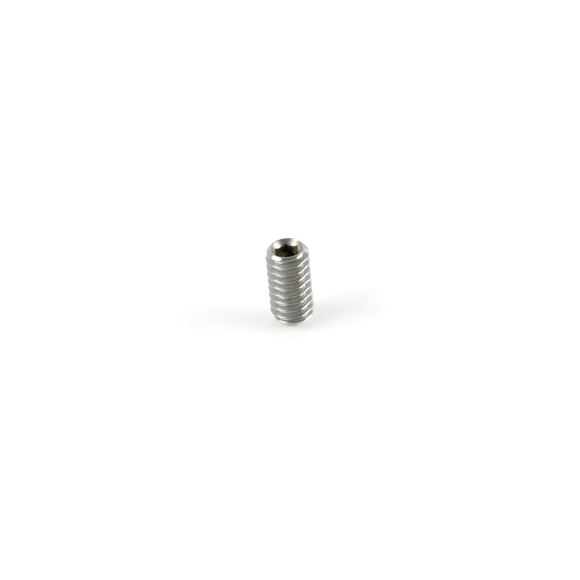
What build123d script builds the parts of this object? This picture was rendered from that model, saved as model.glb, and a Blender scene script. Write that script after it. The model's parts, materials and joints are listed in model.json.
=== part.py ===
from build123d import *
from math import ceil, radians, tan
import os

# Headless socket set screw, 1/4 inch with 20 threads to the inch, 1/2 inch long, with a cup point.
# Millimetres. Z runs along the screw's axis from its point to its drive end, and the origin is the
# middle of the point's ring, on the plane that the screw stands on.

# Overall
overall_length = 12.7

# Thread, right-handed, 60 degrees
major_diameter = 6.3
pitch = 1.27
flank_angle = 60
crest_flat_share = 1 / 8
root_flat_share = 1 / 5
thread_start_angle = 113

# Drive end: a flat ring, its outer edge just clear of the thread's root, between the outer chamfer
# and the countersink
drive_edge_margin = 0.04
drive_ring_width = 0.15
drive_chamfer_angle = 45
countersink_angle = 82

# Hexagon socket, for a 1/8 inch key, over the blind hole that it is formed in
key_across_flats = 3.175
key_clearance = 0.03
socket_depth = 3.6
socket_turn_angle = 34
pilot_ledge_width = 0.1
pilot_tip_angle = 118

# Cup point: a narrow ring round a shallow cone
cup_ring_diameter = 3.2
cup_ring_width = 0.14
cup_angle = 118
point_chamfer_angle = 45

# Length by which cutting tools run past the faces that they open
cut_overrun = 0.5

# Sizes that follow from these
major_radius = major_diameter / 2
crest_flat = crest_flat_share * pitch
root_flat = root_flat_share * pitch
flank_slope = tan(radians(flank_angle / 2))
thread_depth = (pitch - crest_flat - root_flat) / 2 / flank_slope
root_radius = major_radius - thread_depth
drive_end_radius = root_radius + drive_edge_margin
countersink_radius = drive_end_radius - drive_ring_width
socket_inradius = (key_across_flats + key_clearance) / 2
pilot_radius = socket_inradius - pilot_ledge_width
cup_ring_radius = cup_ring_diameter / 2
cup_radius = cup_ring_radius - cup_ring_width


def cone_height(large_radius, small_radius, full_angle):
    """Height over which a cone of this full angle narrows from one radius to the other."""
    return (large_radius - small_radius) / tan(radians(full_angle / 2))


def turned_blank():
    """The bar with both ends chamfered and the cup turned into its point."""
    drive_shoulder = overall_length - cone_height(major_radius, drive_end_radius, 2 * drive_chamfer_angle)
    point_shoulder = cone_height(major_radius, cup_ring_radius, 2 * point_chamfer_angle)
    outline = Polyline(
        (0, 0, cone_height(cup_radius, 0, cup_angle)),
        (cup_radius, 0, 0),
        (cup_ring_radius, 0, 0),
        (major_radius, 0, point_shoulder),
        (major_radius, 0, drive_shoulder),
        (drive_end_radius, 0, overall_length),
        (0, 0, overall_length),
        close=True,
    )
    return revolve(make_face(outline), Axis.Z)


def hexagon_socket():
    """What is taken out for the key: the countersunk mouth, the hexagon and the pilot hole's tip."""
    socket_floor = overall_length - socket_depth
    hexagon = Plane.XY.offset(socket_floor) * RegularPolygon(
        socket_inradius, side_count=6, major_radius=False, rotation=socket_turn_angle
    )
    opening = extrude(hexagon, socket_depth + cut_overrun)
    mouth_tip = overall_length - cone_height(countersink_radius, 0, countersink_angle)
    mouth_outline = Polyline(
        (0, 0, mouth_tip),
        (countersink_radius, 0, overall_length),
        (0, 0, overall_length),
        close=True,
    )
    tip_outline = Polyline(
        (0, 0, socket_floor - cone_height(pilot_radius, 0, pilot_tip_angle)),
        (pilot_radius, 0, socket_floor),
        (0, 0, socket_floor),
        close=True,
    )
    return opening + revolve(make_face(mouth_outline), Axis.Z) + revolve(make_face(tip_outline), Axis.Z)


def thread_groove():
    """The groove between the crests: its flat-bottomed V section carried turn by turn past both ends."""
    mouth_radius = major_radius + crest_flat / 2
    mouth_half_width = root_flat / 2 + (mouth_radius - root_radius) * flank_slope
    section = Polyline(
        (root_radius, 0, -root_flat / 2),
        (mouth_radius, 0, -mouth_half_width),
        (mouth_radius, 0, mouth_half_width),
        (root_radius, 0, root_flat / 2),
        close=True,
    )
    turn = Helix(pitch, pitch, root_radius)
    turn_count = ceil(overall_length / pitch) + 2
    path = Wire([Pos(0, 0, number * pitch) * turn for number in range(turn_count)])
    groove = sweep(make_face(section), path, is_frenet=True)
    return Location((0, 0, -pitch), (0, 0, thread_start_angle)) * groove


def set_screw():
    """The finished screw, in one piece."""
    return turned_blank() - hexagon_socket() - thread_groove()


os.makedirs("parts", exist_ok=True)
export_step(set_screw(), "parts/set_screw.step")
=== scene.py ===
import json
from math import cos, pi, radians, sin, tan

import bpy
import numpy as np
from bpy.props import FloatProperty, FloatVectorProperty, PointerProperty
from bpy.types import Operator, Panel, PropertyGroup
from mathutils import Matrix, Vector


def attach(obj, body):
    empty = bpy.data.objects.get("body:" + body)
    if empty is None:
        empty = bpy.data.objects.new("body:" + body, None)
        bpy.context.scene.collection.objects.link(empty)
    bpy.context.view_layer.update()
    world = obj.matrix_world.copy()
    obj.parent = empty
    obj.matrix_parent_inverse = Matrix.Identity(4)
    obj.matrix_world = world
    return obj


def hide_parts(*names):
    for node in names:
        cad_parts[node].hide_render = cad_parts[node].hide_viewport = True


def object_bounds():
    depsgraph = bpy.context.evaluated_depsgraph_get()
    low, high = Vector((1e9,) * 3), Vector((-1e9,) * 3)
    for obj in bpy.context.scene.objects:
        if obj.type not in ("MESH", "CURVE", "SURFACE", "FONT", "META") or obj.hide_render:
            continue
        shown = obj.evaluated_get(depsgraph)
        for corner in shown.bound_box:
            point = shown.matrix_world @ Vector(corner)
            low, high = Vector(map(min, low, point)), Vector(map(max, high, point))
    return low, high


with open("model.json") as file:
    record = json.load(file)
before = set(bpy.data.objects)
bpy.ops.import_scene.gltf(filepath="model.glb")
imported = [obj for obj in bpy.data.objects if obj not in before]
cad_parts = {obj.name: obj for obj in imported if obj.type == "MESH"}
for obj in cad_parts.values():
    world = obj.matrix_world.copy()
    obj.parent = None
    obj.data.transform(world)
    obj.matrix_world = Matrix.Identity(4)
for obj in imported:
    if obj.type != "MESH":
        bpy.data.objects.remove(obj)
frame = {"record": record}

bl_info = {
    "name": "Socket Set Screw",
    "version": (1, 0, 0),
    "blender": (4, 5, 0),
    "location": "View3D > Sidebar > Set Screw",
    "description": "A headless screw with a hexagon socket and a cup point, in rolled and turned steel",
    "category": "Add Mesh",
}

MM = 0.001
PER_MM = 1 / MM

# The solid that the screw's skin stands for, and what the record says of it
CAD_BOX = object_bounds()
SOLID_LOW, SOLID_HIGH = CAD_BOX
SOLID_RADIUS = min(*SOLID_HIGH.xy, *-SOLID_LOW.xy)
MOUNTS = {mount["name"]: mount for mount in frame["record"]["mounts"]}
SOCKET_DEPTH = MOUNTS["hex_socket"]["dims"]["length_mm"] * MM

# Fineness of the skin: columns round the axis, a multiple of six so that the hexagon's corners lie on
# columns, points on a small arc, points on a flank as shares of its length, and turns of thread that the
# grid has beyond each end
COLUMNS = 192
ARC_POINTS = 5
FLANK_SHARES = (0.03, *np.linspace(0.12, 0.88, 9), 0.97)
SPARE_TURNS = 1

# How much of the plain cone between the cup's ring and the thread's root lies below the thread's grid
PLAIN_POINT_SHARE = 0.94

# Length of the flats beside a rounded edge, as a share of the edge's radius: round the cup, on both sides
# of the drive end's ring, and where the countersink meets the hexagon
POINT_FLAT_SHARE = 1 / 2
RIM_FLAT_SHARE = 1 / 40
SOCKET_FLAT_SHARE = 2

# Faces that meet at less than this angle are shaded as one
SMOOTH_ANGLE = radians(40)

# The finishes, in the order of the piece's material slots
ROLLED, TURNED, PUNCHED = range(3)

# Marks that the tools leave: how many across a pitch, a millimetre of radius and a radian, how fast they
# change along a millimetre of their length, and how deep they are
ROLLED_LINES = 60
TURNED_RINGS = 45
PUNCHED_DRAGS = 40
CHANGE_ALONG = 0.4
MARK_DEPTH = 0.004 * MM

# How much finer noise lies in the marks and in the blotches
MARK_DETAIL = 2.0
CLOUD_DETAIL = 3.0

# Blotches: how many to a millimetre along X, Y and Z, and where in the noise they are taken from
ROLLED_CLOUD = ((0.8, 0.8, 0.8), (0, 0, 0))
# The thread's patches are painted shade: large, nearly upright blotches that darken its seam and film on the
# side the camera faces
SHADE_PATCHES = ((0.3, 0.3, 0.05), (6, 4, 0))
TURNED_CLOUD = ((1.1, 1.1, 1.1), (0, 0, 0))
# The socket's blotches are painted light and painted shade: placed so that a light patch falls deep on the
# far wall, where light falls, with near-black shade round it
PUNCHED_CLOUD = ((0.8, 0.8, 0.8), (11.25, 9, 3))

# Where in a noise from 0 to 1 a pattern begins to show, and where it shows in full
OIL_SHADE_RANGE = (0.2, 0.6)
SHADE_PATCH_RANGE = (0.38, 0.6)
DULL_RANGE = (0.45, 0.8)
RING_RANGE = (0.5, 0.7)
LIGHT_SHADE_RANGE = (0.4, 0.64)

# How far blotches and marks change the roughness to either side of their noise's middle, and what the
# crest's seam adds to it
NOISE_MIDDLE = 0.5
CLOUD_ROUGHNESS = 0.16
MARK_ROUGHNESS = 0.1
SEAM_ROUGHNESS = 0.15

# What each lamp has a setting for
LAMP_VALUES = ("azimuth", "elevation", "width", "height", "light")

# The photograph's side, and where the middle of the screw's upper end lies from its upper left corner
PHOTO_SIDE_PX = 580
DRIVE_END_PX = (286.6, 247.8)

# How many times as far as the screw the camera sees
CLIP_DISTANCES = 10


def length(name, description, default):
    """A length that a user can change, with its default in metres."""
    return FloatProperty(
        name=name,
        description=description,
        default=default,
        min=0,
        precision=6,
        unit="LENGTH",
        subtype="DISTANCE",
    )


def angle(name, description, degrees):
    """An angle that a user can change, with its default in degrees."""
    return FloatProperty(
        name=name, description=description, default=radians(degrees), unit="ROTATION", subtype="ANGLE"
    )


def share(name, description, default):
    """A part of a whole, from 0 to 1."""
    return FloatProperty(name=name, description=description, default=default, min=0, max=1, subtype="FACTOR")


def amount(name, description, default, unit="NONE"):
    """A plain number that a user can change."""
    return FloatProperty(name=name, description=description, default=default, min=0, unit=unit)


def colour(name, description, default):
    """A colour that a user can change, in linear light."""
    return FloatVectorProperty(
        name=name, description=description, default=default, size=3, min=0, max=1, subtype="COLOR"
    )


class ScrewSizes(PropertyGroup):
    """Sizes of the screw."""

    overall_length: length("Length", "From the cup's ring to the drive end", SOLID_HIGH.z - SOLID_LOW.z)
    crest_radius: length("Crest radius", "From the axis to the thread's crest", SOLID_RADIUS)
    pitch: length("Pitch", "From one turn of the thread to the next", 1.27 * MM)
    flank_angle: angle("Flank angle", "Between the two flanks of the thread", 60)
    crest_flat: length("Crest flat", "Width of the thread's crest", 0.15875 * MM)
    root_flat: length("Root flat", "Width of the thread's root before it is rounded", 0.254 * MM)
    crest_edge: length("Crest edge", "Radius of the crest's two edges", 0.13 * MM)
    runout_ease: length("Run-out ease", "Distance of thread and chamfer where their blend begins", 0.3 * MM)
    thread_turn: angle("Thread turn", "Where a root starts at the point's plane, from the X axis", 113)
    drive_margin: length("Drive margin", "From the thread's root out to the drive end's rim", 0.04 * MM)
    drive_ring: length("Drive ring", "Width of the flat ring at the drive end", 0.15 * MM)
    drive_chamfer: angle("Drive chamfer", "Between the drive end's chamfer and the axis", 45)
    countersink: angle("Countersink", "Full angle of the socket's mouth", 82)
    across_flats: length("Across flats", "Width of the hexagon", 3.205 * MM)
    socket_turn: angle("Socket turn", "Of the hexagon's first corner, from the X axis", 34)
    socket_depth: length("Socket depth", "From the drive end to the hexagon's floor", SOCKET_DEPTH)
    pilot_ledge: length("Pilot ledge", "From a flat of the hexagon in to the drilled tip", 0.1 * MM)
    pilot_angle: angle("Pilot angle", "Full angle of the drilled tip below the hexagon", 118)
    cup_ring_radius: length("Cup ring radius", "Outer radius of the ring round the cup", 1.6 * MM)
    cup_ring: length("Cup ring", "Width of the ring round the cup", 0.14 * MM)
    cup_angle: angle("Cup angle", "Full angle of the cup", 118)
    point_chamfer: angle("Point chamfer", "Between the point's chamfer and the axis", 45)
    point_edge: length("Point edge", "Radius of the edges round the cup", 0.05 * MM)
    rim_edge: length("Rim edge", "Radius of the drive ring's two edges", 0.16 * MM)
    socket_edge: length("Socket edge", "Radius of the edge between countersink and hexagon", 0.08 * MM)


class ScrewFinish(PropertyGroup):
    """Colours and gloss of the screw, with the painted light and shade of its thread and socket."""

    steel: colour("Steel", "Colour of the clean steel", (0.51, 0.508, 0.498))
    # Partly the real dull seam and partly painted shade that darkens the crest's reflection in the shade
    # patches
    seam: colour("Seam", "Colour of the dull seam that rolling leaves along the crest", (0.173, 0.17, 0.154))
    # The film is oil on the ends and round the socket's mouth; on the thread it is partly oil and partly
    # painted shade in the hollows
    oil_and_shade: colour("Oil", "Colour of the film left in the thread and on the ends", (0.363, 0.355, 0.293))
    # Painted light: the lit patch deep on the socket's far wall
    painted_light: colour("Stain", "Colour of the lighter blotches down in the socket", (0.95, 0.84, 0.54))
    # Painted shade: the near-black down in the socket
    painted_shade: colour("Soot", "Colour of the darker blotches down in the socket", (0.06, 0.045, 0.03))
    rolled_roughness: share("Rolled roughness", "Of the thread", 0.18)
    turned_roughness: share("Turned roughness", "Of the chamfers, the rings and the cup", 0.17)
    punched_roughness: share("Punched roughness", "Of the countersink, the hexagon and its floor", 0.4)
    seam_depth: length("Seam depth", "How far down the rounded crest its seam reaches", 0.013 * MM)
    # The shade patches are painted shade over seam and film; this is how much of them is left outside the
    # patches
    outside_shade_patch: share("Clear patch", "What is left of seam and film between their patches", 0.2)
    # Share of the thread's oil and painted hollow shade that reaches up to the crest
    crest_oil_shade: share("Crest film", "How much of the film reaches up to the crest", 0.25)
    turned_film: share("Turned film", "How much blotches and rings of film show on the ends", 0.33)
    mouth_film: share("Mouth film", "How much of the film shows at the top of the countersink", 0.8)
    mouth_top: length("Mouth top", "Depth in the socket above which the mouth's film is full", 0.2 * MM)
    mouth_foot: length("Mouth foot", "Depth in the socket where the mouth's film ends", 0.6 * MM)
    # Depths over which the socket's painted light and painted shade take over, and how much of them shows at
    # the countersink's top
    light_shade_top: length("Stain top", "Depth in the socket where the blotches begin to deepen", 0.3 * MM)
    light_shade_foot: length("Stain foot", "Depth in the socket where the blotches are full", 1.8 * MM)
    mouth_light_shade: share("Mouth stain", "How much of the blotches shows at the top of the countersink", 0.05)


class StageSettings(PropertyGroup):
    """The floor, the light and the camera."""

    elevation: angle("Elevation", "Of the camera above the floor", 36.5)
    roll: angle("Roll", "Turn of the camera about its own line of sight", 5.3)
    frame_width: length("Frame width", "What the picture's side shows at the screw", 82.7 * MM)
    lens: amount("Lens", "Focal length, on a sensor 36 mm wide", 300, "CAMERA")
    floor: colour("Floor", "Colour of the floor", (0.9, 0.9, 0.9))
    floor_side: length("Floor side", "Length of the floor's sides", 3.3)
    floor_glow: share("Floor glow", "How far the floor near the screw shows as bare white", 0.2)
    far_glow: share("Far glow", "How far the distant floor shows as bare white", 0.4)
    glow_start: length("Glow start", "Distance from the screw where the floor begins to whiten", 0.03)
    glow_full: length("Glow full", "Distance from the screw where the floor is whitest", 0.3)
    horizon: colour("Horizon", "Light of the surroundings near the floor", (1.0, 1.0, 1.0))
    walls: colour("Walls", "Light of the surroundings higher up", (0.69, 0.69, 0.69))
    walls_start: angle("Walls start", "Elevation up to which the horizon's light goes", 2)
    walls_full: angle("Walls full", "Elevation from which the walls' light goes", 45)
    opening: colour("Opening", "Light from the dark opening above the camera", (0.2, 0.195, 0.18))
    opening_azimuth: angle("Opening azimuth", "Of the opening's middle, from the camera's side", 23)
    opening_elevation: angle("Opening elevation", "Of the opening's middle above the floor", 35)
    opening_inner: angle("Opening inner", "From the opening's middle to where it is darkest", 25)
    opening_outer: angle("Opening outer", "From the opening's middle to its edge", 71)
    lamp_distance: length("Lamp distance", "From a lamp to the screw", 0.6)
    left_azimuth: angle("Left azimuth", "Of the left lamp, from the camera's side", -79)
    left_elevation: angle("Left elevation", "Of the left lamp above the floor", 42)
    left_width: length("Left width", "Of the left lamp's face", 0.42)
    left_height: length("Left height", "Of the left lamp's face", 0.23)
    left_light: amount("Left light", "Brightness of the left lamp's face, where 1 is white", 4.2)
    right_azimuth: angle("Right azimuth", "Of the right lamp, from the camera's side", 79)
    right_elevation: angle("Right elevation", "Of the right lamp above the floor", 16)
    right_width: length("Right width", "Of the right lamp's face", 0.42)
    right_height: length("Right height", "Of the right lamp's face", 0.33)
    right_light: amount("Right light", "Brightness of the right lamp's face, where 1 is white", 6.5)
    back_azimuth: angle("Back azimuth", "Of the back lamp, from the camera's side", 159)
    back_elevation: angle("Back elevation", "Of the back lamp above the floor", 25)
    back_width: length("Back width", "Of the back lamp's face", 0.58)
    back_height: length("Back height", "Of the back lamp's face", 0.13)
    back_light: amount("Back light", "Brightness of the back lamp's face, where 1 is white", 1)


def thread_depth(sizes):
    """Height of a flank: what is left of half a pitch beside the flats, over the flank's slope."""
    return (sizes.pitch - sizes.crest_flat - sizes.root_flat) / 2 / tan(sizes.flank_angle / 2)


def root_radius(sizes):
    """From the axis to the bottom of the thread."""
    return sizes.crest_radius - thread_depth(sizes)


def drive_rim_radius(sizes):
    """From the axis to the edge between the drive end's chamfer and its flat ring."""
    return root_radius(sizes) + sizes.drive_margin


def tooth_section(sizes):
    """One pitch of the thread, as heights from the middle of the crest and radii.

    Half of it runs from the middle of the flat crest through an arc of the edge's radius, down a straight
    flank and into an arc that touches both flanks and bottoms at the root. The other half mirrors it."""
    lean = sizes.flank_angle / 2
    turn = pi / 2 - lean
    sweep = np.linspace(0, turn, ARC_POINTS)
    flat = sizes.crest_flat / 2 - sizes.crest_edge * tan(turn / 2)
    crest_height = np.concatenate([[0], flat + sizes.crest_edge * np.sin(sweep)])
    crest_out = np.concatenate([[0], sizes.crest_edge * (1 - np.cos(sweep))])
    hollow = sizes.root_flat / 2 / tan(lean)
    root_height = sizes.pitch / 2 - hollow * np.sin(sweep[::-1])
    root_out = thread_depth(sizes) - hollow * (1 - np.cos(sweep[::-1]))
    ends = [0, 1]
    flank_height = np.interp(FLANK_SHARES, ends, [crest_height[-1], root_height[0]])
    flank_out = np.interp(FLANK_SHARES, ends, [crest_out[-1], root_out[0]])
    height = np.concatenate([crest_height, flank_height, root_height])
    out = np.concatenate([crest_out, flank_out, root_out])
    heights = np.concatenate([-height[:0:-1], height])[:-1]
    radii = sizes.crest_radius - np.concatenate([out[:0:-1], out])[:-1]
    return heights, radii


def rounded(radius, height, heading, turn, edge, flat_share):
    """Rings round a corner of a turned profile, as radii and heights.

    A line comes in on this heading, which is the angle from outward towards upward, and leaves turned left.
    The arc of the edge's radius touches both lines, and a ring on each line holds it flat beside the arc."""
    ease = edge * tan(turn / 2)
    reach = ease + flat_share * edge
    sweep = np.linspace(0, turn, ARC_POINTS)
    along = np.concatenate([[-reach], edge * np.sin(sweep) - ease, [reach * cos(turn)]])
    aside = np.concatenate([[0], edge * (1 - np.cos(sweep)), [reach * sin(turn)]])
    radii = radius + np.outer(along * cos(heading) - aside * sin(heading), np.ones(COLUMNS))
    heights = height + np.outer(along * sin(heading) + aside * cos(heading), np.ones(COLUMNS))
    return radii, heights


def level_rings(*rings):
    """Plain circles, given as pairs of a radius and a height."""
    radii, heights = np.transpose(rings)
    return np.outer(radii, np.ones(COLUMNS)), np.outer(heights, np.ones(COLUMNS))


def stacked(*groups):
    """Groups of rings, one after the other."""
    radii, heights = zip(*groups)
    return np.vstack(radii), np.vstack(heights)


def point_rings(sizes):
    """Rings of the point, from the cup's tip and a small ring round it out over the cup's ring to the
    chamfer."""
    rise = pi / 2 - sizes.cup_angle / 2
    cup_radius = sizes.cup_ring_radius - sizes.cup_ring
    depth = cup_radius * tan(rise)
    edge = sizes.point_edge
    return stacked(
        level_rings((0, depth), (edge, depth - edge * tan(rise))),
        rounded(cup_radius, 0, -rise, rise, edge, POINT_FLAT_SHARE),
        rounded(sizes.cup_ring_radius, 0, 0, pi / 2 - sizes.point_chamfer, edge, POINT_FLAT_SHARE),
    )


def hexagon_radius(sizes, angles):
    """From the axis to the hexagon's wall at each angle: half the width across the flats over the cosine of
    the angle from the middle of the nearest flat."""
    side = pi / 3
    from_flat = (angles - sizes.socket_turn) % side - side / 2
    return sizes.across_flats / 2 / np.cos(from_flat)


def rim_corner(sizes, inset):
    """Rings round the edge between the drive end's chamfer and its flat ring, this far inside the chamfer."""
    heading = pi / 2 + sizes.drive_chamfer
    radius = drive_rim_radius(sizes) - inset
    return rounded(radius, sizes.overall_length, heading, pi - heading, sizes.rim_edge, RIM_FLAT_SHARE)


def rim_rings(sizes, inset):
    """Rings of the drive end's crown, from above the thread's last row over the narrow flat ring to the top
    of the countersink. inset is how far each column's last row stands inside the chamfer."""
    radii, heights = rim_corner(sizes, inset)
    inner = drive_rim_radius(sizes) - sizes.drive_ring
    slope = pi / 2 - sizes.countersink / 2
    return stacked(
        (radii[1:], heights[1:]),
        rounded(inner, sizes.overall_length, pi, slope, sizes.rim_edge, RIM_FLAT_SHARE),
    )


def socket_rings(sizes, angles):
    """Rings of the socket: where the countersink's cone meets the hexagon's walls, the foot of the walls,
    the ledge, and the drilled tip with a small ring round it."""
    top = sizes.overall_length
    floor = top - sizes.socket_depth
    slope = pi / 2 - sizes.countersink / 2
    fall = pi / 2 - sizes.pilot_angle / 2
    wall = hexagon_radius(sizes, angles)
    meet = top - (drive_rim_radius(sizes) - sizes.drive_ring - wall) * tan(slope)
    pilot = sizes.across_flats / 2 - sizes.pilot_ledge
    tip = sizes.point_edge
    return stacked(
        rounded(wall, meet, pi + slope, pi / 2 - slope, sizes.socket_edge, SOCKET_FLAT_SHARE),
        (wall[None, :], np.full((1, COLUMNS), floor)),
        level_rings((pilot, floor), (tip, floor - (pilot - tip) * tan(fall)), (0, floor - pilot * tan(fall))),
    )


def thread_grid(sizes, angles):
    """The threaded length on a grid of rows along the helix and columns round the axis.

    A row climbs one pitch a turn, so the tooth's section is the same in every column, and the crest's middle
    lies half a pitch above the root's. The radius is the lower of the tooth's and the chamfers' cones', less
    a quarter of the square of what their distance lacks of the run-out's ease, over that ease. Each column's
    nearest row is slid to where tooth and cone cross. Rows past either end lie on the end's circle.

    Returns the radii, the heights, how far the tooth stands out of the cones, which points lie where they
    cross, the first and the last row of each column, and the number of rows in a pitch."""
    tooth_heights, tooth_radii = tooth_section(sizes)
    turns = np.arange(-SPARE_TURNS, round(sizes.overall_length / sizes.pitch) + SPARE_TURNS)
    crest = sizes.pitch * ((angles - sizes.thread_turn) / (2 * pi) + 0.5)
    rows = (turns[:, None] * sizes.pitch + tooth_heights).ravel()
    low = PLAIN_POINT_SHARE * (root_radius(sizes) - sizes.cup_ring_radius) / tan(sizes.point_chamfer)
    high = rim_corner(sizes, 0)[1].min()

    def tooth(heights):
        return np.interp(heights - crest, tooth_heights, tooth_radii, period=sizes.pitch)

    def cones(heights):
        point = sizes.cup_ring_radius + heights * tan(sizes.point_chamfer)
        drive = drive_rim_radius(sizes) + (sizes.overall_length - heights) * tan(sizes.drive_chamfer)
        return np.minimum(point, drive)

    free = rows[:, None] + crest
    heights = np.clip(free, low, high)
    proud = tooth(heights) - cones(heights)
    crosses = proud[:-1] * proud[1:] < 0
    along = np.divide(proud[:-1], proud[:-1] - proud[1:], out=np.zeros_like(proud[:-1]), where=crosses)
    place = heights[:-1] + along * np.diff(heights, axis=0)
    inside = (free > low) & (free < high)
    slide_up = crosses & (along < 0.5) & inside[:-1]
    slide_down = crosses & (along >= 0.5) & inside[1:]
    heights[:-1][slide_up] = place[slide_up]
    heights[1:][slide_down] = place[slide_down]
    crossing = np.zeros(heights.shape, bool)
    crossing[:-1] |= slide_up
    crossing[1:] |= slide_down

    tooth_out, cone_out = tooth(heights), cones(heights)
    proud = np.where(crossing, 0, tooth_out - cone_out)
    lack = np.maximum(sizes.runout_ease - abs(tooth_out - cone_out), 0)
    radii = np.minimum(tooth_out, cone_out) - lack**2 / (4 * sizes.runout_ease)
    first = (free <= low).sum(axis=0) - 1
    last = len(rows) - (free >= high).sum(axis=0)
    return radii, heights, proud, crossing, first, last, len(tooth_heights)


def split_quads(ids, crossing):
    """Two triangles for each quad in a grid of corner numbers. A quad is split along the line where thread
    and chamfer cross if that line runs through it, and from its first corner if not."""
    a, b, c, d = ids[:-1, :-1], ids[:-1, 1:], ids[1:, 1:], ids[1:, :-1]
    crossed = (crossing[b] & crossing[d])[..., None]
    lower = np.where(crossed, np.stack([a, b, d], axis=-1), np.stack([a, b, c], axis=-1))
    upper = np.where(crossed, np.stack([b, c, d], axis=-1), np.stack([a, c, d], axis=-1))
    return np.stack([lower, upper], axis=2)


def screw_skin(sizes):
    """The screw's whole surface as one grid, from the cup's tip to the socket's: the point's rings, the
    thread's rows and the drive end's rings, each with a point in every column.

    The last column closes on the first, one pitch higher in the thread's rows. Returns the corners, the
    triangles and each triangle's material slot."""
    angles = sizes.socket_turn + np.arange(COLUMNS) * 2 * pi / COLUMNS
    radii, heights, proud, crossing, first, last, pitch_rows = thread_grid(sizes, angles)
    chamfer = drive_rim_radius(sizes) + (sizes.overall_length - heights[-1]) * tan(sizes.drive_chamfer)
    point = point_rings(sizes)
    crown = rim_rings(sizes, chamfer - radii[last, np.arange(COLUMNS)])
    socket = socket_rings(sizes, angles)
    before = len(point[0])
    after = len(crown[0]) + len(socket[0])
    thread = slice(before, -after)

    all_radii, all_heights = stacked(point, (radii, heights), crown, socket)
    places = all_radii * np.cos(angles), all_radii * np.sin(angles), all_heights
    corners = np.stack(places, axis=-1).reshape(-1, 3)
    all_proud = np.zeros(all_radii.shape)
    all_proud[thread] = proud
    all_crossing = np.zeros(all_radii.shape, bool)
    all_crossing[thread] = crossing

    columns = np.arange(COLUMNS + 1)
    climb = np.where(columns == COLUMNS, pitch_rows, 0)
    columns = columns % COLUMNS
    rows = np.arange(len(all_radii))[:, None] + np.zeros(COLUMNS + 1, int)
    thread_rows = np.arange(len(radii))[:, None] + climb
    rows[thread] = before + np.clip(thread_rows, first[columns], last[columns])
    ids = rows * COLUMNS + columns
    ids[0] = ids[0, 0]
    ids[-1] = ids[-1, 0]

    triangles = split_quads(ids, all_crossing.ravel())
    slots = np.full(triangles.shape[:3], ROLLED)
    slots[:before] = TURNED
    slots[-after - 1:] = TURNED
    slots[-len(socket[0]) - 1:] = PUNCHED
    triangles, slots = triangles.reshape(-1, 3), slots.ravel()
    slots = np.where(all_proud.ravel()[triangles].mean(axis=1) > 0, TURNED, slots)
    p, q, r = triangles.T
    whole = (p != q) & (q != r) & (r != p)
    used, triangles = np.unique(triangles[whole], return_inverse=True)
    return corners[used], triangles.reshape(-1, 3), slots[whole]


def mesh_piece(name, corners, triangles, slots, materials):
    """A mesh object of these corners and triangles, smooth but for its sharp edges, with its materials in
    their slots."""
    mesh = bpy.data.meshes.new(name)
    mesh.from_pydata(corners, [], triangles)
    for material in materials:
        mesh.materials.append(material)
    mesh.polygons.foreach_set("material_index", slots.astype(np.int32))
    mesh.set_sharp_from_angle(angle=SMOOTH_ANGLE)
    mesh.validate()
    piece = bpy.data.objects.new(name, mesh)
    bpy.context.scene.collection.objects.link(piece)
    return piece


class Signal:
    """A shader socket. Arithmetic on it adds Math nodes, and node() adds any other node to its tree."""

    def __init__(self, socket):
        self.socket = socket

    @staticmethod
    def port(sockets, key):
        """One of a node's sockets, by its number or its identifier."""
        return sockets[key] if isinstance(key, int) else next(s for s in sockets if s.identifier == key)

    def node(self, kind, settings=None, inputs=None, output=0):
        """A new node of this kind, with its settings and then its sockets' values or links."""
        tree = self.socket.id_data
        made = tree.nodes.new(kind)
        for key, value in (settings or {}).items():
            setattr(made, key, value)
        for key, value in (inputs or {}).items():
            port = self.port(made.inputs, key)
            if isinstance(value, Signal):
                tree.links.new(value.socket, port)
            else:
                port.default_value = value
        return Signal(self.port(made.outputs, output))

    def math(self, operation, *others):
        """This operation on the signal and up to two more signals or numbers."""
        return self.node("ShaderNodeMath", {"operation": operation}, dict(enumerate((self, *others))))

    def swapped(self, operation, first):
        """This operation on a number and then the signal."""
        return self.node("ShaderNodeMath", {"operation": operation}, {0: first, 1: self})

    def __add__(self, other):
        return self.math("ADD", other)

    def __radd__(self, other):
        return self.math("ADD", other)

    def __sub__(self, other):
        return self.math("SUBTRACT", other)

    def __rsub__(self, other):
        return self.swapped("SUBTRACT", other)

    def __mul__(self, other):
        return self.math("MULTIPLY", other)

    def __rmul__(self, other):
        return self.math("MULTIPLY", other)

    def __truediv__(self, other):
        return self.math("DIVIDE", other)

    def __mod__(self, other):
        return self.math("FLOORED_MODULO", other)

    def ramp(self, start, end, low=0.0, high=1.0):
        """Eased from low at start to high at end."""
        return self.node(
            "ShaderNodeMapRange",
            {"interpolation_type": "SMOOTHSTEP"},
            {"Value": self, "From Min": start, "From Max": end, "To Min": low, "To Max": high},
        )

    def mix(self, first, second):
        """The first colour where this is 0, and the second where it is 1."""
        return self.node(
            "ShaderNodeMix",
            {"data_type": "RGBA"},
            {"Factor_Float": self, "A_Color": as_colour(first), "B_Color": as_colour(second)},
            "Result_Color",
        )


def as_colour(value):
    """A colour socket's value from a colour of three numbers, or the signal itself."""
    return value if isinstance(value, Signal) else (*value, 1.0)


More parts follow.
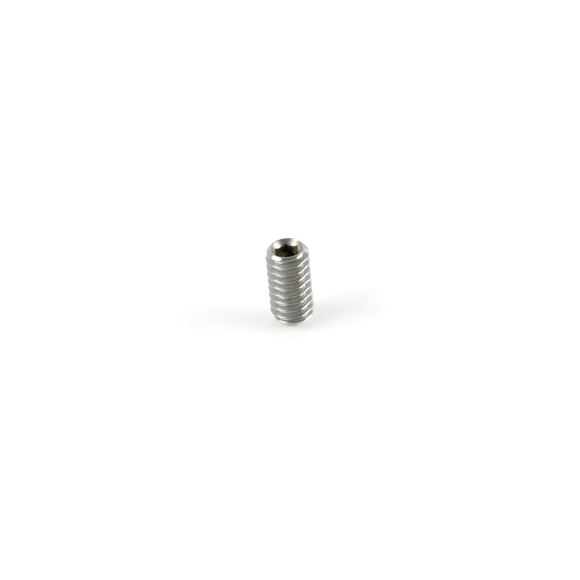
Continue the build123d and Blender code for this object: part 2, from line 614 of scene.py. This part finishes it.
class Steel:
    """A metal material being made: its place on the piece in millimetres, and its Principled shader."""

    def __init__(self, name):
        self.material = bpy.data.materials.new(name)
        self.material.use_nodes = True
        tree = self.material.node_tree
        self.shader = tree.nodes["Principled BSDF"]
        place = Signal(tree.nodes.new("ShaderNodeTexCoord").outputs["Object"])
        self.place = place.node(
            "ShaderNodeVectorMath", {"operation": "SCALE"}, {"Vector": place, "Scale": PER_MM}
        )
        split = place.node("ShaderNodeSeparateXYZ", inputs={"Vector": self.place}).socket.node
        self.x, self.y, self.z = (Signal(axis) for axis in split.outputs)
        self.radius = (self.x * self.x + self.y * self.y).math("SQRT")

    def noise(self, x, y, z, detail=MARK_DETAIL):
        """Noise from 0 to 1 whose place is three signals."""
        vector = self.place.node("ShaderNodeCombineXYZ", inputs={0: x, 1: y, 2: z})
        return vector.node("ShaderNodeTexNoise", inputs={"Vector": vector, "Scale": 1.0, "Detail": detail})

    def cloud(self, counts, start):
        """Soft blotches from 0 to 1, so many to a millimetre along each axis, from a place in the noise."""
        axes = zip((self.x, self.y, self.z), counts, start)
        return self.noise(*(axis * count + begin for axis, count, begin in axes), detail=CLOUD_DETAIL)

    def finish(self, tint, roughness, cloud, marks):
        """Links the colour, a roughness that cloud and marks change, and the marks' relief to the shader."""
        tree = self.material.node_tree
        dull = (cloud - NOISE_MIDDLE) * CLOUD_ROUGHNESS + (marks - NOISE_MIDDLE) * MARK_ROUGHNESS
        uneven = roughness + dull
        bump = marks.node("ShaderNodeBump", inputs={"Height": marks, "Distance": MARK_DEPTH, "Strength": 1.0})
        for socket, value in {"Base Color": tint, "Roughness": uneven, "Normal": bump}.items():
            tree.links.new(value.socket, self.shader.inputs[socket])
        self.shader.inputs["Metallic"].default_value = 1.0
        return self.material


def rolled_steel(sizes, finish):
    """The thread: burnished steel with fine lines that follow the helix, a dull seam along its crest and a
    film towards its root that is partly oil and partly painted shade in the thread's hollows. Seam and film
    lie in large patches of painted shade, where the seam's dark colour also paints shade over the crest's
    reflection."""
    steel = Steel("rolled_steel")
    turn = steel.y.math("ARCTAN2", steel.x) / (2 * pi)
    across = (steel.z / (sizes.pitch * PER_MM) - turn + sizes.thread_turn / (2 * pi)) % 1.0
    lines = steel.noise((steel.x + steel.z) * CHANGE_ALONG, steel.y * CHANGE_ALONG, across * ROLLED_LINES)
    cloud = steel.cloud(*ROLLED_CLOUD)
    # Painted shade: large patches that darken the seam and the film
    shade_patch = steel.cloud(*SHADE_PATCHES).ramp(*SHADE_PATCH_RANGE, low=finish.outside_shade_patch)
    crest = sizes.crest_radius * PER_MM
    # Darker towards the root: partly oil, partly painted shade in the thread's hollows
    below = steel.radius.ramp(crest, root_radius(sizes) * PER_MM, low=finish.crest_oil_shade)
    film = (below * cloud.ramp(*OIL_SHADE_RANGE) * shade_patch).mix(finish.steel, finish.oil_and_shade)
    # The seam is partly real and partly painted shade over the crest's reflection
    seam = steel.radius.ramp(crest - finish.seam_depth * PER_MM, crest) * shade_patch
    roughness = finish.rolled_roughness + seam * SEAM_ROUGHNESS
    return steel.finish(seam.mix(film, finish.seam), roughness, cloud, lines)


def turned_steel(finish):
    """The ends: steel with the fine rings that a cutting tool leaves round the axis, under a thin film of oil
    in blotches and rings."""
    steel = Steel("turned_steel")
    rings = steel.noise(
        steel.radius * TURNED_RINGS, (steel.x + steel.z) * CHANGE_ALONG, steel.y * CHANGE_ALONG
    )
    cloud = steel.cloud(*TURNED_CLOUD)
    film = (cloud.ramp(*DULL_RANGE) + rings.ramp(*RING_RANGE)) * finish.turned_film
    return steel.finish(film.mix(finish.steel, finish.oil_and_shade), finish.turned_roughness, cloud, rings)


def punched_steel(sizes, finish):
    """The socket: steel dragged by the punch from its mouth to its floor, with a film of oil round its mouth
    and painted light and painted shade in blotches that show more with depth: a light patch where light falls
    deep on the far wall, and near-black shade round it."""
    steel = Steel("punched_steel")
    side, ahead = (axis / steel.radius * PUNCHED_DRAGS for axis in (steel.x, steel.y))
    drags = steel.noise(side, ahead, steel.z * CHANGE_ALONG)
    cloud = steel.cloud(*PUNCHED_CLOUD)
    depth = sizes.overall_length * PER_MM - steel.z
    high = depth.ramp(finish.mouth_foot * PER_MM, finish.mouth_top * PER_MM, high=finish.mouth_film)
    # Painted light and painted shade, fuller with depth: a light patch on the far wall and near-black round
    # it
    deep = depth.ramp(finish.light_shade_top * PER_MM, finish.light_shade_foot * PER_MM, low=finish.mouth_light_shade)
    socket_light_shade = cloud.ramp(*LIGHT_SHADE_RANGE).mix(finish.painted_shade, finish.painted_light)
    tint = deep.mix(high.mix(finish.steel, finish.oil_and_shade), socket_light_shade)
    return steel.finish(tint, finish.punched_roughness, cloud, drags)


class SETSCREW_OT_add_screw(Operator):
    """Makes the screw's skin, with its rolled, turned and punched finishes"""

    bl_idname = "set_screw.add_screw"
    bl_label = "Add Screw"

    def execute(self, context):
        sizes, finish = context.scene.set_screw_sizes, context.scene.set_screw_finish
        materials = [rolled_steel(sizes, finish), turned_steel(finish), punched_steel(sizes, finish)]
        screw = mesh_piece("set_screw_steel", *screw_skin(sizes), materials)
        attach(screw, "root")
        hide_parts("set_screw")
        return {"FINISHED"}


def white_floor(stage):
    """A pale matt floor that the camera and bright metal see as white, apart from the shadow on it, and
    whiter with distance from the screw."""
    material = bpy.data.materials.new("white_floor")
    material.use_nodes = True
    tree = material.node_tree
    rays = tree.nodes.new("ShaderNodeLightPath").outputs
    camera, glossy, through = (
        Signal(rays[name]) for name in ("Is Camera Ray", "Is Glossy Ray", "Is Transmission Ray")
    )
    seen = (camera + glossy + through).math("MINIMUM", 1.0)
    place = Signal(tree.nodes.new("ShaderNodeTexCoord").outputs["Object"])
    distance = place.node("ShaderNodeVectorMath", {"operation": "LENGTH"}, {0: place}, 1)
    white = distance.ramp(stage.glow_start, stage.glow_full, stage.floor_glow, stage.far_glow)
    matt = seen.node("ShaderNodeBsdfDiffuse", inputs={"Color": as_colour(stage.floor)})
    glow = seen.node("ShaderNodeEmission", inputs={"Color": white, "Strength": seen})
    both = seen.node("ShaderNodeAddShader", inputs={0: matt, 1: glow})
    tree.links.new(both.socket, tree.nodes["Material Output"].inputs["Surface"])
    return material


def bearing(azimuth, elevation):
    """The direction at this azimuth from the camera's side, to the right, and this elevation."""
    return Vector((sin(azimuth) * cos(elevation), -cos(azimuth) * cos(elevation), sin(elevation)))


def tent_light(stage):
    """Surroundings like a white tent: brightest near the floor, softer up its walls, and dark in the round
    opening above the camera."""
    world = bpy.data.worlds.new("tent")
    world.use_nodes = True
    tree = world.node_tree
    direction = Signal(tree.nodes.new("ShaderNodeTexCoord").outputs["Generated"])
    rise = direction.node("ShaderNodeSeparateXYZ", inputs={"Vector": direction}, output=2)
    hole = bearing(stage.opening_azimuth, stage.opening_elevation)
    facing = direction.node("ShaderNodeVectorMath", {"operation": "DOT_PRODUCT"}, {0: direction, 1: hole}, 1)
    walls = rise.ramp(sin(stage.walls_start), sin(stage.walls_full)).mix(stage.horizon, stage.walls)
    opening = facing.ramp(cos(stage.opening_outer), cos(stage.opening_inner))
    tree.links.new(opening.mix(walls, stage.opening).socket, tree.nodes["Background"].inputs["Color"])
    return world


def soft_lamp(name, azimuth, elevation, width, height, light, distance, target):
    """An upright lamp at this azimuth from the camera's side and this elevation, facing the target from a
    distance, with this brightness all over its face."""
    data = bpy.data.lights.new(name, "AREA")
    data.shape = "RECTANGLE"
    data.size, data.size_y = width, height
    data.energy = light * pi * width * height
    lamp = bpy.data.objects.new(name, data)
    back = bearing(azimuth, elevation)
    lamp.location = target + back * distance
    lamp.rotation_euler = (-back).to_track_quat("-Z", "Y").to_euler()
    bpy.context.scene.collection.objects.link(lamp)


def photo_camera(stage, drive_end):
    """A camera at the photograph's elevation and roll, with the drive end's middle where its frame has it."""
    data = bpy.data.cameras.new("camera")
    data.lens = stage.lens
    distance = stage.frame_width * stage.lens / data.sensor_width
    data.clip_end = CLIP_DISTANCES * distance
    sight = Vector((0, cos(stage.elevation), -sin(stage.elevation)))
    level, upright = Vector((1, 0, 0)), Vector((0, sin(stage.elevation), cos(stage.elevation)))
    right = cos(stage.roll) * level - sin(stage.roll) * upright
    up = sin(stage.roll) * level + cos(stage.roll) * upright
    per_pixel = stage.frame_width / PHOTO_SIDE_PX
    across, down = ((place - PHOTO_SIDE_PX / 2) * per_pixel for place in DRIVE_END_PX)
    middle = drive_end - across * right + down * up
    turned = Matrix((right, up, -sight)).transposed().to_4x4()
    camera = bpy.data.objects.new("camera", data)
    camera.matrix_world = Matrix.Translation(middle - sight * distance) @ turned
    bpy.context.scene.collection.objects.link(camera)
    return camera


class SETSCREW_OT_add_stage(Operator):
    """Makes the white floor, the surroundings, the lamps and the camera"""

    bl_idname = "set_screw.add_stage"
    bl_label = "Add Stage"

    def execute(self, context):
        stage = context.scene.set_screw_stage
        half = stage.floor_side / 2
        corners = [(-half, -half, 0), (half, -half, 0), (half, half, 0), (-half, half, 0)]
        mesh = bpy.data.meshes.new("floor")
        mesh.from_pydata(corners, [], [(0, 1, 2, 3)])
        mesh.materials.append(white_floor(stage))
        floor = bpy.data.objects.new("floor", mesh)
        context.scene.collection.objects.link(floor)
        context.scene.world = tent_light(stage)
        middle = (SOLID_LOW + SOLID_HIGH) / 2
        for side in ("left", "right", "back"):
            values = (getattr(stage, f"{side}_{value}") for value in LAMP_VALUES)
            soft_lamp(f"{side}_lamp", *values, stage.lamp_distance, middle)
        drive_end = Vector((middle.x, middle.y, SOLID_HIGH.z))
        context.scene.camera = photo_camera(stage, drive_end)
        context.scene.view_settings.view_transform = "Standard"
        return {"FINISHED"}


class SETSCREW_PT_panel(Panel):
    """Sizes, finish and stage of the screw"""

    bl_idname = "SETSCREW_PT_panel"
    bl_label = "Set Screw"
    bl_space_type = "VIEW_3D"
    bl_region_type = "UI"
    bl_category = "Set Screw"

    def draw(self, context):
        scene = context.scene
        for group in (scene.set_screw_sizes, scene.set_screw_finish, scene.set_screw_stage):
            box = self.layout.box()
            for name in group.__annotations__:
                box.prop(group, name)
        self.layout.operator(SETSCREW_OT_add_screw.bl_idname)
        self.layout.operator(SETSCREW_OT_add_stage.bl_idname)


CLASSES = (
    ScrewSizes, ScrewFinish, StageSettings, SETSCREW_OT_add_screw, SETSCREW_OT_add_stage, SETSCREW_PT_panel
)
GROUPS = {
    "set_screw_sizes": ScrewSizes,
    "set_screw_finish": ScrewFinish,
    "set_screw_stage": StageSettings,
}


def register():
    """Adds the classes, and the settings to every scene."""
    for cls in CLASSES:
        bpy.utils.register_class(cls)
    for name, group in GROUPS.items():
        setattr(bpy.types.Scene, name, PointerProperty(type=group))


def unregister():
    """Takes the settings and the classes away again."""
    for name in GROUPS:
        delattr(bpy.types.Scene, name)
    for cls in reversed(CLASSES):
        bpy.utils.unregister_class(cls)


def main():
    """Makes the screw and its stage, and keeps their sizes."""
    register()
    bpy.ops.set_screw.add_screw()
    bpy.ops.set_screw.add_stage()


if __name__ == "__main__":
    main()
